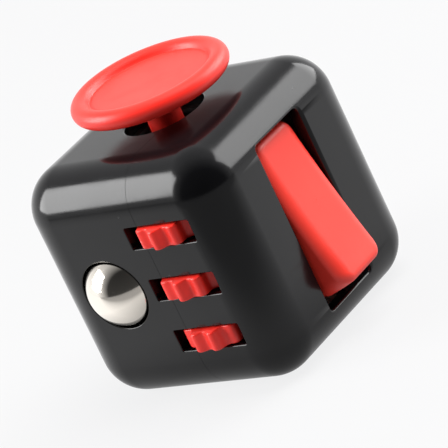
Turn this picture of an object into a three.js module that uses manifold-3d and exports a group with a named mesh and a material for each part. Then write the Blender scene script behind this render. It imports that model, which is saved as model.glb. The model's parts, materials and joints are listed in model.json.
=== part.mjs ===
// Fidget cube: a 33 mm hand toy with a different control on each face.
// Millimetres, +Z up. The model is built about the cube's centre and then stood on its base.
import * as THREE from 'three';
import { RoundedBoxGeometry } from 'three/addons/geometries/RoundedBoxGeometry.js';
import { mergeVertices } from 'three/addons/utils/BufferGeometryUtils.js';
import Module from 'manifold-3d';

const wasm = await Module();
wasm.setup();

// ---------------------------------------------------------------- driving dimensions

const SIDE = 33;                 // outer size of the cube
const HALF = SIDE / 2;
const EDGE = 6;                  // radius of the cube's edges and corners
const WALL = 1.9;
const INSIDE = HALF - WALL;      // the walls' inner faces
const GAP = 0.3;                 // between neighbouring pieces
const SEAM = 3;                  // x of the joint between the two shell halves

const PEG_PLACE = 12.5;          // the shell halves' locating pegs, from the centre in y and z
const PEG_RADIUS = 0.7;
const PEG_BOSS = 1.5;
const PEG_DEPTH = 2.4;
const BOSS_REACH = 5;

const DISC_RADIUS = 10.8;        // joystick disc
const DISC_THICK = 2.6;          // its rim is a full round
const DISC_RECESS = 0.9;         // depth of the hollow inside the rim
const DISC_HEIGHT = 10.93;       // rim's middle above the gimbal's centre
const STEM_RADIUS = 2.3;
const STICK_HOLE = 5.5;
const GIMBAL = 10;               // height of the gimbal's centre
const STICK_ACROSS = -0.35;      // the gimbal's centre from the hole's centre
const STICK_LEAN = THREE.MathUtils.degToRad(2.36);

const SLOT_LENGTH = 10.5;        // openings for the gear wheels
const SLOT_HEIGHT = 3.1;
const WHEEL_PITCH = 7.55;        // from wheel to wheel along the axle
const WHEEL_THICK = 2.7;
const WHEEL_TIP = 4.95;
const WHEEL_ROOT = 4.15;
const TEETH = 10;
const AXLE_ACROSS = 5.95;        // the axle from the face's middle
const AXLE_DEEP = 13.1;          // the axle from the cube's centre, towards the face
const AXLE_RADIUS = 1;
const LEAF_THICK = 0.2;

const BALL_RADIUS = 5.32;
const BALL_HOLE = 4.94;
const BALL_ACROSS = -5.75;
const BALL_DEEP = 13.72;

const ROCKER_WIDTH = 9.5;
const ROCKER_HALF = 10.7;        // half the length of the rocker's face
const ROCKER_FACE = 17.9;        // the face from the cube's centre, with the rocker level
const ROCKER_BACK = 12.4;
const ROCKER_TILT = THREE.MathUtils.degToRad(-15);
const PIVOT = 13;
const PIN_RADIUS = 0.9;
const OPENING_WIDTH = 10.3;
const OPENING_LENGTH = 24.1;
const PLUNGER_TIP = 5.6;
const TAB_SCREW_PLACE = 8;

const BUTTON_RADIUS = 2.4;
const BUTTON_SPREAD = 7.2;       // corner buttons from the face's middle
const BUTTON_TOP = HALF + 1.2;
const BUTTON_FLANGE = 3.1;
const PLATE_LOW = 9;
const PLATE_HIGH = 10.2;
const PLATE_HALF = 10.4;
const POST_SPREAD = 7.4;
const POST_RADIUS = 1.5;

const DIAL_RADIUS = 9;
const DIAL_TOP = HALF - 0.3;     // just under the face, so the cube stands flat
const DIAL_BACK = 14.7;
const HUB_RADIUS = 2.6;

const DISH_LONG = 10;            // half-axes of the thumb dish at the face
const DISH_SHORT = 8.4;
const DISH_DEPTH = 2.2;
const PAD_RADIUS = 11;
const PAD_INSIDE = 12.4;

const SCREW_SHANK = 0.55;
const SCREW_HOLE = SCREW_SHANK + GAP;

const ROUND = 28;                // sides of a large round piece
const SMALL_ROUND = 12;

// ---------------------------------------------------------------- materials

function plastic(color, roughness) {
  return new THREE.MeshStandardMaterial({ color, roughness, metalness: 0 });
}

function metal(color, roughness) {
  return new THREE.MeshStandardMaterial({ color, roughness, metalness: 1 });
}

const BLACK_SHELL = plastic(0x27272a, 0.42);
const RED_PLASTIC = plastic(0xf0362e, 0.45);
const RED_RUBBER = plastic(0xee4a40, 0.6);
const NYLON = plastic(0xd9d6cc, 0.55);
const DARK_NYLON = plastic(0x1b1b1d, 0.6);
const SILICONE = plastic(0xbfc4c6, 0.7);
const CHROME = metal(0xe6e4df, 0.08);
const STEEL = metal(0x9b9c9e, 0.35);

// ---------------------------------------------------------------- solid helpers

function signedVolume(positions, corners) {
  const [a, b, c] = [new THREE.Vector3(), new THREE.Vector3(), new THREE.Vector3()];
  let volume = 0;
  for (let i = 0; i < corners.length; i += 3) {
    a.fromBufferAttribute(positions, corners[i]);
    b.fromBufferAttribute(positions, corners[i + 1]);
    c.fromBufferAttribute(positions, corners[i + 2]);
    volume += a.dot(b.cross(c)) / 6;
  }
  return volume;
}

// Shared vertices joined, flat triangles left out, and the faces turned outwards.
function weld(geometry) {
  const bare = geometry.clone();
  bare.deleteAttribute('normal');
  bare.deleteAttribute('uv');
  const joined = mergeVertices(bare, 1e-4);
  const corners = [];
  for (let i = 0; i < joined.index.count; i += 3) {
    const [a, b, c] = [0, 1, 2].map((k) => joined.index.getX(i + k));
    if (a !== b && b !== c && c !== a) corners.push(a, b, c);
  }
  if (signedVolume(joined.attributes.position, corners) < 0) corners.reverse();
  const solid = new THREE.BufferGeometry();
  solid.setAttribute('position', joined.attributes.position);
  solid.setIndex(corners);
  solid.computeVertexNormals();
  return solid;
}

function toManifold(geometry) {
  const { attributes, index } = weld(geometry);
  return new wasm.Manifold(new wasm.Mesh({
    numProp: 3,
    vertProperties: Float32Array.from(attributes.position.array),
    triVerts: Uint32Array.from(index.array),
  }));
}

function toGeometry(manifold) {
  const mesh = manifold.getMesh();
  const geometry = new THREE.BufferGeometry();
  geometry.setAttribute('position', new THREE.BufferAttribute(mesh.vertProperties, 3));
  geometry.setIndex(new THREE.BufferAttribute(mesh.triVerts, 1));
  geometry.computeVertexNormals();
  return geometry;
}

function join(...geometries) {
  return toGeometry(geometries.map(toManifold).reduce((whole, piece) => whole.add(piece)));
}

function cut(geometry, ...cutters) {
  return toGeometry(cutters.map(toManifold)
    .reduce((whole, cutter) => whole.subtract(cutter), toManifold(geometry)));
}

function keep(geometry, limits) {
  return toGeometry(toManifold(geometry).intersect(toManifold(limits)));
}

// A solid of revolution about Z, from [radius, height] points.
function turned(profile, sides = ROUND) {
  const points = profile.map(([radius, height]) => new THREE.Vector2(radius, height));
  return weld(new THREE.LatheGeometry(points, sides).rotateX(Math.PI / 2));
}

function rod(radius, low, high, sides = ROUND) {
  return turned([[0, low], [radius, low], [radius, high], [0, high]], sides);
}

function ring(inner, outer, low, high, sides = ROUND) {
  return turned([[inner, low], [outer, low], [outer, high], [inner, high], [inner, low]], sides);
}

function block(x, y, z) {
  const box = new THREE.BoxGeometry(x[1] - x[0], y[1] - y[0], z[1] - z[0]);
  return box.translate((x[0] + x[1]) / 2, (y[0] + y[1]) / 2, (z[0] + z[1]) / 2);
}

function alongX(geometry) {
  return geometry.rotateY(Math.PI / 2);
}

function alongY(geometry) {
  return geometry.rotateX(-Math.PI / 2);
}

function roundedPlate(width, length, corner, low, high) {
  const [w, l] = [width / 2, length / 2];
  const outline = new THREE.Shape();
  outline.moveTo(-w + corner, -l);
  outline.absarc(w - corner, -l + corner, corner, -Math.PI / 2, 0);
  outline.absarc(w - corner, l - corner, corner, 0, Math.PI / 2);
  outline.absarc(-w + corner, l - corner, corner, Math.PI / 2, Math.PI);
  outline.absarc(-w + corner, -l + corner, corner, Math.PI, Math.PI * 1.5);
  const options = { depth: high - low, bevelEnabled: false, curveSegments: 3 };
  return new THREE.ExtrudeGeometry(outline, options).translate(0, 0, low);
}

// A pan-head screw standing along Z, head first.
function screw(headLow, tip, headRadius = 1.2, shank = SCREW_SHANK) {
  const neck = headLow + 0.9;
  return turned([[0, headLow], [headRadius * 0.8, headLow], [headRadius, headLow + 0.3],
    [headRadius, neck], [shank, neck], [shank, tip], [0, tip]], SMALL_ROUND);
}

class Helix extends THREE.Curve {
  constructor(radius, low, high, turns) {
    super();
    Object.assign(this, { radius, low, high, turns });
  }

  getPoint(t, target = new THREE.Vector3()) {
    const angle = 2 * Math.PI * this.turns * t;
    const height = this.low + (this.high - this.low) * t;
    return target.set(this.radius * Math.cos(angle), this.radius * Math.sin(angle), height);
  }
}

// A coil spring along Z whose wire fills the space from low to high.
function coil(radius, wire, low, high, turns) {
  const section = new THREE.Shape();
  section.absarc(0, 0, wire, 0, 2 * Math.PI);
  const path = new Helix(radius, low + wire, high - wire, turns);
  const options = { steps: turns * 10, extrudePath: path, curveSegments: 3 };
  return weld(new THREE.ExtrudeGeometry(section, options));
}

// ---------------------------------------------------------------- the six faces

// A frame whose +Z points out of a face, with its origin at the cube's centre.
function faceFrame(x, y, z) {
  const group = new THREE.Group();
  const basis = new THREE.Matrix4().makeBasis(
    new THREE.Vector3(...x), new THREE.Vector3(...y), new THREE.Vector3(...z));
  group.quaternion.setFromRotationMatrix(basis);
  group.updateMatrix();
  return group;
}

const glideFace = faceFrame([1, 0, 0], [0, 1, 0], [0, 0, 1]);
const rollFace = faceFrame([1, 0, 0], [0, 0, 1], [0, -1, 0]);
const flipFace = faceFrame([0, 1, 0], [0, 0, 1], [1, 0, 0]);
const clickFace = faceFrame([-1, 0, 0], [0, 0, 1], [0, 1, 0]);
const breatheFace = faceFrame([0, -1, 0], [0, 0, 1], [-1, 0, 0]);
const spinFace = faceFrame([1, 0, 0], [0, -1, 0], [0, 0, -1]);

const cube = new THREE.Group();
cube.add(glideFace, rollFace, flipFace, clickFace, breatheFace, spinFace);

function fit(parent, name, geometry, material) {
  const mesh = new THREE.Mesh(weld(geometry), material);
  mesh.name = name;
  parent.add(mesh);
}

function onFace(face, geometry) {
  return geometry.clone().applyMatrix4(face.matrix);
}

const WHEEL_PLACES = { top: WHEEL_PITCH, middle: 0, bottom: -WHEEL_PITCH };
const BUTTON_PLACES = [[0, 0], [-1, -1], [1, -1], [-1, 1], [1, 1]]
  .map(([x, y]) => [x * BUTTON_SPREAD, y * BUTTON_SPREAD]);
const POST_PLACES = [[1, 0], [0, 1], [-1, 0], [0, -1]]
  .map(([x, y]) => [x * POST_SPREAD, y * POST_SPREAD]);

// ---------------------------------------------------------------- shell

function faceOpenings() {
  const through = [INSIDE - 1, HALF + 1];
  const slotX = [AXLE_ACROSS - SLOT_LENGTH / 2, AXLE_ACROSS + SLOT_LENGTH / 2];
  const slots = Object.values(WHEEL_PLACES).map((y) => onFace(rollFace,
    block(slotX, [y - SLOT_HEIGHT / 2, y + SLOT_HEIGHT / 2], through)));
  const ballSeat = new THREE.SphereGeometry(BALL_RADIUS + GAP, ROUND, 12);
  const buttonHoles = BUTTON_PLACES.map(([x, y]) => onFace(clickFace,
    rod(BUTTON_RADIUS + GAP, ...through, 16).translate(x, y, 0)));
  const postHoles = POST_PLACES.map(([x, y]) => onFace(clickFace,
    rod(SCREW_HOLE, PLATE_HIGH, INSIDE + 0.9, SMALL_ROUND).translate(x, y, 0)));
  const tabHoles = [-1, 1].map((side) => onFace(flipFace,
    rod(SCREW_HOLE, INSIDE - 0.5, HALF - 0.6, SMALL_ROUND).translate(side * TAB_SCREW_PLACE, 0, 0)));
  return [
    onFace(glideFace, rod(STICK_HOLE, ...through)),
    ...slots,
    onFace(rollFace, rod(BALL_HOLE, ...through).translate(BALL_ACROSS, 0, 0)),
    onFace(rollFace, ballSeat.translate(BALL_ACROSS, 0, BALL_DEEP)),
    onFace(flipFace, roundedPlate(OPENING_WIDTH, OPENING_LENGTH, 0.8, ...through)),
    ...buttonHoles,
    ...postHoles,
    ...tabHoles,
    onFace(spinFace, rod(DIAL_RADIUS + GAP, ...through)),
  ];
}

// The dish is part of an ellipsoid whose top section at the face is the dish's oval.
function thumbDish() {
  const depthAxis = 3 * DISH_DEPTH;
  const centre = HALF + depthAxis - DISH_DEPTH;
  const spread = 1 / Math.sqrt(1 - ((centre - HALF) / depthAxis) ** 2);
  const dish = new THREE.SphereGeometry(1, 28, 24);
  dish.rotateX(Math.PI / 2).scale(DISH_LONG * spread, DISH_SHORT * spread, depthAxis);
  return onFace(breatheFace, dish.translate(0, 0, centre));
}

function pegPlaces() {
  return [[-1, -1], [-1, 1], [1, -1], [1, 1]].map(([y, z]) => [y * PEG_PLACE, z * PEG_PLACE]);
}

function pegRods(radius, from, to) {
  return pegPlaces().map(([y, z]) => alongX(rod(radius, from, to, SMALL_ROUND)).translate(0, y, z));
}

function buildShell() {
  const outside = new RoundedBoxGeometry(SIDE, SIDE, SIDE, 4, EDGE);
  const hollow = new RoundedBoxGeometry(2 * INSIDE, 2 * INSIDE, 2 * INSIDE, 2, EDGE - WALL);
  const pad = onFace(breatheFace, rod(PAD_RADIUS, PAD_INSIDE, INSIDE + 0.5));
  const posts = POST_PLACES.map(([x, y]) => onFace(clickFace,
    rod(POST_RADIUS, PLATE_HIGH + GAP, INSIDE + 0.5, SMALL_ROUND).translate(x, y, 0)));
  const bosses = pegRods(PEG_BOSS, SEAM - BOSS_REACH, SEAM + BOSS_REACH);
  const walls = join(cut(outside, hollow), pad, ...posts, ...bosses);
  const shell = cut(walls, ...faceOpenings(), thumbDish());

  const reach = HALF + 1;
  const flipSide = keep(shell, block([SEAM, reach], [-reach, reach], [-reach, reach]));
  const breatheSide = keep(shell, block([-reach, SEAM], [-reach, reach], [-reach, reach]));
  const pegs = pegRods(PEG_RADIUS, SEAM - PEG_DEPTH, SEAM + 1);
  const sockets = pegRods(PEG_RADIUS + GAP, SEAM - PEG_DEPTH - GAP, SEAM + 1);
  fit(cube, 'shell_flip_half', join(flipSide, ...pegs), BLACK_SHELL);
  fit(cube, 'shell_breathe_half', cut(breatheSide, ...sockets), BLACK_SHELL);
}

// ---------------------------------------------------------------- glide face: joystick

function stickDisc() {
  const rim = DISC_THICK / 2;
  const stemLow = 3.4;
  const hole = SCREW_HOLE + GAP;
  const floor = DISC_HEIGHT + rim - DISC_RECESS;
  const rimArc = [-90, -60, -30, 0, 30, 60, 90, 120, 150].map((degrees) => {
    const angle = THREE.MathUtils.degToRad(degrees);
    return [DISC_RADIUS - rim + rim * Math.cos(angle), DISC_HEIGHT + rim * Math.sin(angle)];
  });
  return turned([
    [0, stemLow + 3.5], [hole, stemLow + 3.5], [hole, stemLow], [STEM_RADIUS, stemLow],
    [STEM_RADIUS, DISC_HEIGHT - rim], ...rimArc, [DISC_RADIUS - 2 * rim - 0.1, floor], [0, floor],
  ]);
}

function stickFoot() {
  const crossPin = alongY(rod(0.8, -4.3, 4.3, SMALL_ROUND));
  const bore = rod(SCREW_HOLE + GAP, -3, 4, SMALL_ROUND);
  return cut(join(rod(2.4, -1.8, 3.1, 20), crossPin), bore);
}

function gimbalRing() {
  const pinBore = alongY(rod(1.1, -6, 6, SMALL_ROUND));
  const stubs = [-1, 1].map((side) => alongX(rod(0.8, 0, 2.4, SMALL_ROUND))
    .translate(side > 0 ? 4.2 : -6.6, 0, 0));
  return join(cut(ring(3.1, 4.6, -1.6, 1.6), pinBore), ...stubs);
}

function stickCup() {
  const cup = turned([
    [0, 5.4], [7.2, 5.4], [7.2, 13], [8.6, 13], [8.6, INSIDE - GAP - 0.4],
    [5.3, INSIDE - GAP - 0.4], [5.3, 6.4], [0, 6.4],
  ]);
  return cut(cup, alongX(rod(1.1, -8, 8, SMALL_ROUND)).translate(0, 0, GIMBAL));
}

function buildGlide() {
  const gimbal = new THREE.Group();
  gimbal.position.set(STICK_ACROSS, 0, GIMBAL);
  const stickTilt = new THREE.Group();
  stickTilt.rotation.y = STICK_LEAN;
  gimbal.add(stickTilt);
  glideFace.add(gimbal);
  fit(stickTilt, 'joystick_disc', stickDisc(), RED_PLASTIC);
  fit(stickTilt, 'joystick_foot', stickFoot(), DARK_NYLON);
  fit(stickTilt, 'joystick_screw', screw(-3, 6.3, 1.7, 0.8), STEEL);
  fit(gimbal, 'joystick_gimbal_ring', gimbalRing(), NYLON);
  fit(glideFace, 'joystick_cup', stickCup().translate(STICK_ACROSS, 0, 0), DARK_NYLON);
  fit(glideFace, 'joystick_dust_ring', ring(4.6, 8.2, INSIDE - 0.6, INSIDE - 0.1), SILICONE);
}

// ---------------------------------------------------------------- roll face: gears and ball

function wheelOutline(phase) {
  const outline = new THREE.Shape();
  const steps = TEETH * 6;
  const middle = (WHEEL_TIP + WHEEL_ROOT) / 2;
  const swing = (WHEEL_TIP - WHEEL_ROOT) / 2;
  for (let i = 0; i < steps; i += 1) {
    const angle = (2 * Math.PI * i) / steps;
    const radius = middle + swing * Math.cos(TEETH * (angle - phase));
    const [x, y] = [radius * Math.cos(angle), radius * Math.sin(angle)];
    if (i === 0) outline.moveTo(x, y);
    else outline.lineTo(x, y);
  }
  const bore = new THREE.Path();
  bore.absarc(0, 0, AXLE_RADIUS + GAP, 0, 2 * Math.PI, true);
  outline.holes.push(bore);
  return outline;
}

function gearWheel(place, phase) {
  const options = { depth: WHEEL_THICK, bevelEnabled: false, curveSegments: 8 };
  const wheel = new THREE.ExtrudeGeometry(wheelOutline(phase), options);
  return alongY(wheel.translate(0, 0, -WHEEL_THICK / 2)).translate(AXLE_ACROSS, place, AXLE_DEEP);
}

function gearBracket() {
  const [left, right] = [3.4, 9.4];
  const [plateLow, plateHigh] = [6.8, 7.6];
  const [earInside, earOutside] = [9.4, 10.4];
  const plate = block([left, right], [-earOutside, earOutside], [plateLow, plateHigh]);
  const earMiddle = (earInside + earOutside) / 2;
  const ears = [-earMiddle, -WHEEL_PITCH / 2, WHEEL_PITCH / 2, earMiddle]
    .map((y) => block([left, right - 1], [y - 0.5, y + 0.5], [plateLow, INSIDE - 0.4]));
  const fork = AXLE_RADIUS + GAP;
  const mouth = block([AXLE_ACROSS - fork, AXLE_ACROSS + fork], [-HALF, HALF], [AXLE_DEEP, HALF]);
  const seat = alongY(rod(fork, -HALF, HALF, SMALL_ROUND)).translate(AXLE_ACROSS, 0, AXLE_DEEP);
  return cut(join(plate, ...ears), mouth, seat);
}

// A spring strip with one finger under each wheel.
function clickLeaf() {
  const low = 7.6;
  const strip = block([8.5, 9.3], [-9, 9], [low, low + LEAF_THICK]);
  const fingers = Object.values(WHEEL_PLACES).map((y) => block([4.5, 8.8], [y - 0.8, y + 0.8],
    [low, low + LEAF_THICK]));
  return join(strip, ...fingers);
}

function ballCup() {
  const seat = BALL_RADIUS + 0.25;
  const front = BALL_DEEP - 1.1;
  const low = 7.2;
  const start = Math.acos(1.1 / seat);
  const arc = [1, 0.75, 0.5, 0.25, 0].map((share) => {
    const angle = start * share;
    return [seat * Math.sin(angle), BALL_DEEP - seat * Math.cos(angle)];
  });
  return turned([[0, low], [5.2, low], [5.9, low + 0.7], [5.9, front], ...arc]);
}

function ballSpringSeat() {
  const arm = block([-12 - BALL_ACROSS, -3], [-2, 2], [2.8, 3.8]);
  return join(rod(4.2, 2.8, 3.8, 20), rod(1.7, 3.5, 5.2, SMALL_ROUND), arm);
}

function buildRoll() {
  const wheelPhase = { top: 0.5, middle: 0.5, bottom: 0 };
  for (const [name, place] of Object.entries(WHEEL_PLACES)) {
    const phase = (2 * Math.PI * wheelPhase[name]) / TEETH;
    fit(rollFace, `gear_wheel_${name}`, gearWheel(place, phase), RED_PLASTIC);
  }
  const axle = alongY(rod(AXLE_RADIUS, -10.9, 10.9, 16)).translate(AXLE_ACROSS, 0, AXLE_DEEP);
  fit(rollFace, 'gear_axle', axle, STEEL);
  fit(rollFace, 'gear_bracket', gearBracket(), DARK_NYLON);
  fit(rollFace, 'gear_click_leaf', clickLeaf(), STEEL);

  const ballGroup = new THREE.Group();
  ballGroup.position.x = BALL_ACROSS;
  rollFace.add(ballGroup);
  const ball = new THREE.SphereGeometry(BALL_RADIUS, 24, 16).rotateX(Math.PI / 2);
  fit(ballGroup, 'steel_ball', ball.translate(0, 0, BALL_DEEP), CHROME);
  fit(ballGroup, 'ball_cup', ballCup(), DARK_NYLON);
  fit(ballGroup, 'ball_spring', coil(2.5, 0.3, 4.1, 6.9, 3), STEEL);
  fit(ballGroup, 'ball_spring_seat', ballSpringSeat(), NYLON);
}

// ---------------------------------------------------------------- flip face: rocker switch

// Side outline of the rocker as [along the face, out of the face], with a slightly hollow front.
function rockerOutline() {
  const corner = 1.2;
  const hollow = 0.4;
  const outline = new THREE.Shape();
  outline.moveTo(-ROCKER_HALF - 0.5, ROCKER_BACK);
  outline.lineTo(ROCKER_HALF + 0.5, ROCKER_BACK);
  outline.lineTo(ROCKER_HALF + 0.1, ROCKER_FACE - corner);
  outline.quadraticCurveTo(ROCKER_HALF, ROCKER_FACE, ROCKER_HALF - corner, ROCKER_FACE);
  outline.quadraticCurveTo(0, ROCKER_FACE - 2 * hollow, -ROCKER_HALF + corner, ROCKER_FACE);
  outline.quadraticCurveTo(-ROCKER_HALF, ROCKER_FACE, -ROCKER_HALF - 0.1, ROCKER_FACE - corner);
  return outline;
}

function rockerBody() {
  const bevel = 0.7;
  const paddle = new THREE.ExtrudeGeometry(rockerOutline(), {
    depth: ROCKER_WIDTH - 2 * bevel,
    bevelThickness: bevel,
    bevelSize: bevel,
    bevelOffset: -bevel,
    bevelSegments: 2,
    curveSegments: 5,
  });
  paddle.translate(0, 0, bevel - ROCKER_WIDTH / 2);
  paddle.applyMatrix4(new THREE.Matrix4().makeBasis(
    new THREE.Vector3(0, 1, 0), new THREE.Vector3(0, 0, 1), new THREE.Vector3(1, 0, 0)));
  paddle.translate(0, 0, -PIVOT);
  const width = ROCKER_WIDTH / 2;
  const barrel = rod(2, -5, -0.5, 16);
  const knuckle = alongX(rod(2.3, 0.3 - width, width - 0.3, 16));
  const pinBore = alongX(rod(PIN_RADIUS + GAP, -width - 1, width + 1, SMALL_ROUND));
  const springBore = rod(1.35, -6, -1.7, SMALL_ROUND);
  return cut(join(paddle, knuckle, barrel), pinBore, springBore);
}

function rockerBracket() {
  const [inside, outside] = [5.2, 6.4];
  const [low, high] = [3.6, INSIDE - 0.4];
  const rise = 3.4;
  const frame = block([-outside, outside], [-rise, rise], [low, high]);
  const room = block([-inside, inside], [-HALF, HALF], [low + 2.6, HALF]);
  const track = alongX(rod(PIVOT - PLUNGER_TIP + GAP, -inside, inside, 40)).translate(0, 0, PIVOT);
  const tabs = block([-9.4, 9.4], [-1.8, 1.8], [high - 1, high]);
  const pinHoles = alongX(rod(PIN_RADIUS + GAP, -HALF, HALF, SMALL_ROUND)).translate(0, 0, PIVOT);
  const screwHoles = [-1, 1].map((side) => rod(SCREW_HOLE, high - 2, high + 1, SMALL_ROUND)
    .translate(side * TAB_SCREW_PLACE, 0, 0));
  return cut(join(frame, tabs), room, track, pinHoles, ...screwHoles);
}

function buildFlip() {
  const tilt = new THREE.Group();
  tilt.position.z = PIVOT;
  tilt.rotation.x = ROCKER_TILT;
  flipFace.add(tilt);
  fit(tilt, 'rocker', rockerBody(), RED_RUBBER);
  const tip = PLUNGER_TIP - PIVOT;
  fit(tilt, 'rocker_plunger', turned([[0, tip], [0.6, tip + 0.15], [1.05, tip + 0.7],
    [1.05, tip + 3.2], [0, tip + 3.2]], SMALL_ROUND), NYLON);
  fit(tilt, 'rocker_spring', coil(0.85, 0.18, tip + 3.4, -1.9, 3), STEEL);
  const pin = alongX(rod(PIN_RADIUS, -6.6, 6.6, 16)).translate(0, 0, PIVOT);
  fit(flipFace, 'rocker_pin', pin, STEEL);
  fit(flipFace, 'rocker_bracket', rockerBracket(), DARK_NYLON);
  for (const [name, side] of [['left', -1], ['right', 1]]) {
    const fixing = screw(INSIDE - 2.6, INSIDE + 1).translate(side * TAB_SCREW_PLACE, 0, 0);
    fit(flipFace, `rocker_bracket_screw_${name}`, fixing, STEEL);
  }
}

// ---------------------------------------------------------------- click face: five buttons

function button() {
  const flangeHigh = INSIDE - GAP;
  const flangeLow = flangeHigh - 1;
  return turned([
    [0, PLATE_LOW - 0.6], [0.7, PLATE_LOW - 0.6], [0.7, flangeLow], [BUTTON_FLANGE, flangeLow],
    [BUTTON_FLANGE, flangeHigh], [BUTTON_RADIUS, flangeHigh], [BUTTON_RADIUS, BUTTON_TOP - 0.7],
    [BUTTON_RADIUS - 0.3, BUTTON_TOP - 0.25], [BUTTON_RADIUS - 0.9, BUTTON_TOP], [0, BUTTON_TOP],
  ], 16);
}

// A hollow silicone dome that pushes its button back.
function buttonPad() {
  const low = PLATE_HIGH;
  const high = INSIDE - GAP - 1 - GAP;
  return turned([[2.2, low], [2.9, low], [2.7, low + 0.6], [1.9, high], [1.05, high],
    [1.05, high - 0.6], [1.5, high - 0.6], [2.2, low]], SMALL_ROUND);
}

function buttonPlate() {
  const plate = roundedPlate(2 * PLATE_HALF, 2 * PLATE_HALF, 2, PLATE_LOW, PLATE_HIGH);
  const guides = BUTTON_PLACES.map(([x, y]) => rod(1.05, 8, 11, SMALL_ROUND).translate(x, y, 0));
  const holes = POST_PLACES.map(([x, y]) => rod(SCREW_HOLE, 8, 11, SMALL_ROUND).translate(x, y, 0));
  return cut(plate, ...guides, ...holes);
}

function buildClick() {
  BUTTON_PLACES.forEach(([x, y], i) => {
    fit(clickFace, `click_button_${i + 1}`, button().translate(x, y, 0), RED_PLASTIC);
    fit(clickFace, `button_pad_${i + 1}`, buttonPad().translate(x, y, 0), SILICONE);
  });
  fit(clickFace, 'button_plate', buttonPlate(), NYLON);
  POST_PLACES.forEach(([x, y], i) => {
    const fixing = screw(PLATE_LOW - 1, INSIDE + 0.5).translate(x, y, 0);
    fit(clickFace, `button_plate_screw_${i + 1}`, fixing, STEEL);
  });
}

// ---------------------------------------------------------------- spin face: dial

function dial() {
  const hubEnd = 12.4;
  const body = turned([
    [0, hubEnd], [HUB_RADIUS, hubEnd], [HUB_RADIUS, DIAL_BACK], [DIAL_RADIUS, DIAL_BACK],
    [DIAL_RADIUS, DIAL_TOP - 0.4], [DIAL_RADIUS - 0.4, DIAL_TOP], [0, DIAL_TOP],
  ]);
  const fingerDimple = new THREE.SphereGeometry(4.5, 16, 12).translate(5, 0, DIAL_TOP + 3.7);
  return cut(body, rod(SCREW_HOLE, hubEnd - 1, 15.2, SMALL_ROUND), fingerDimple);
}

function buildSpin() {
  const plateHigh = INSIDE - GAP;
  fit(spinFace, 'spin_dial', dial(), RED_PLASTIC);
  fit(spinFace, 'dial_bearing_plate', ring(HUB_RADIUS + GAP, 11, plateHigh - 1, plateHigh), NYLON);
  fit(spinFace, 'dial_spring_washer', ring(HUB_RADIUS + 0.4, 4.2, 12.4, 13, 20), STEEL);
  fit(spinFace, 'dial_washer', ring(SCREW_HOLE, 4.4, 11.2, 12.1, 20), NYLON);
  fit(spinFace, 'dial_screw', screw(10, 15, 1.5), STEEL);
}

// ---------------------------------------------------------------- assembly

buildShell();
buildGlide();
buildRoll();
buildFlip();
buildClick();
buildSpin();

const box = new THREE.Box3().setFromObject(cube, true);
cube.position.set(-(box.min.x + box.max.x) / 2, -(box.min.y + box.max.y) / 2, -box.min.z);

export default cube;
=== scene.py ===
import json
import math

import bmesh
import bpy
from mathutils import Matrix, Vector


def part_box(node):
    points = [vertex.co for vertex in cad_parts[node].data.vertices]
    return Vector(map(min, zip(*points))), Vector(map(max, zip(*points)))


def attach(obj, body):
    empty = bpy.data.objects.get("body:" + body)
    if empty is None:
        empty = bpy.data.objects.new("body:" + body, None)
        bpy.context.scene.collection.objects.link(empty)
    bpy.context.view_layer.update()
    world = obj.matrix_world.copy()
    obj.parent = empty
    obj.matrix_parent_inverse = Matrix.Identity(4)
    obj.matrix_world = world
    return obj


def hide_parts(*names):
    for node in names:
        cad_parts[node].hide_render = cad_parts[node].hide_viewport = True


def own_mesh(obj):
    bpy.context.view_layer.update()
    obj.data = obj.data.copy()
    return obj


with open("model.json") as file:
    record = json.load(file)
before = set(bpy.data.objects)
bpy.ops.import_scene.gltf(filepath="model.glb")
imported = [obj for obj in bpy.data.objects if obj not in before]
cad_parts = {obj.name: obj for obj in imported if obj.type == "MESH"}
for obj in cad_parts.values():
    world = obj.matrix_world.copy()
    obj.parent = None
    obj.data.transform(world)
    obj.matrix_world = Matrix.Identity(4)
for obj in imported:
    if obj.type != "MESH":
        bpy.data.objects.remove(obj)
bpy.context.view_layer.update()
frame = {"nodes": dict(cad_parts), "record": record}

# ------------------------------------------------------------------ sizes, in millimetres

MM = 0.001
EDGE = 6.0                # radius of the cube's edges and corners
WALL = 1.9
GAP = 0.3
SEAM = 3.0                # the shell halves meet here, from the cube's centre
SEAM_WIDTH = 0.006        # half the width of the hairline
SEAM_BREAK = 0.022        # broken edge on each side of it

PEG_PLACE, PEG_RADIUS, PEG_BOSS, PEG_DEPTH, BOSS_REACH = 12.5, 0.7, 1.5, 2.4, 5.0

GIMBAL = 10.0
STICK_ACROSS, STICK_LEAN = -0.35, 2.36     # millimetres, degrees
DISC_RADIUS, DISC_THICK, DISC_HEIGHT = 10.78, 2.6, 10.93
DISC_RECESS = 0.9
STEM_RADIUS = 2.3
STICK_HOLE = 5.5

SLOT_LENGTH, SLOT_HEIGHT = 10.5, 3.1
WHEEL_PITCH, WHEEL_THICK, WHEEL_TIP, WHEEL_ROOT, TEETH = 7.55, 2.7, 4.95, 4.15, 10
AXLE_ACROSS, AXLE_DEEP, AXLE_RADIUS = 5.95, 13.1, 1.0

BALL_RADIUS, BALL_HOLE, BALL_ACROSS, BALL_DEEP = 5.32, 4.94, -5.75, 13.72

ROCKER_WIDTH, ROCKER_HALF, ROCKER_FACE, ROCKER_BACK = 9.5, 10.7, 17.9, 12.4
ROCKER_TILT = -15.0                        # degrees
PIVOT, PIN_RADIUS = 13.0, 0.9
OPENING_WIDTH, OPENING_LENGTH = 10.3, 24.1
PLUNGER_TIP = 5.6

BUTTON_RADIUS, BUTTON_SPREAD, BUTTON_RISE, BUTTON_FLANGE = 2.4, 7.2, 1.2, 3.1
PLATE_LOW, PLATE_HIGH = 9.0, 10.2
POST_SPREAD, POST_RADIUS = 7.4, 1.5

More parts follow.
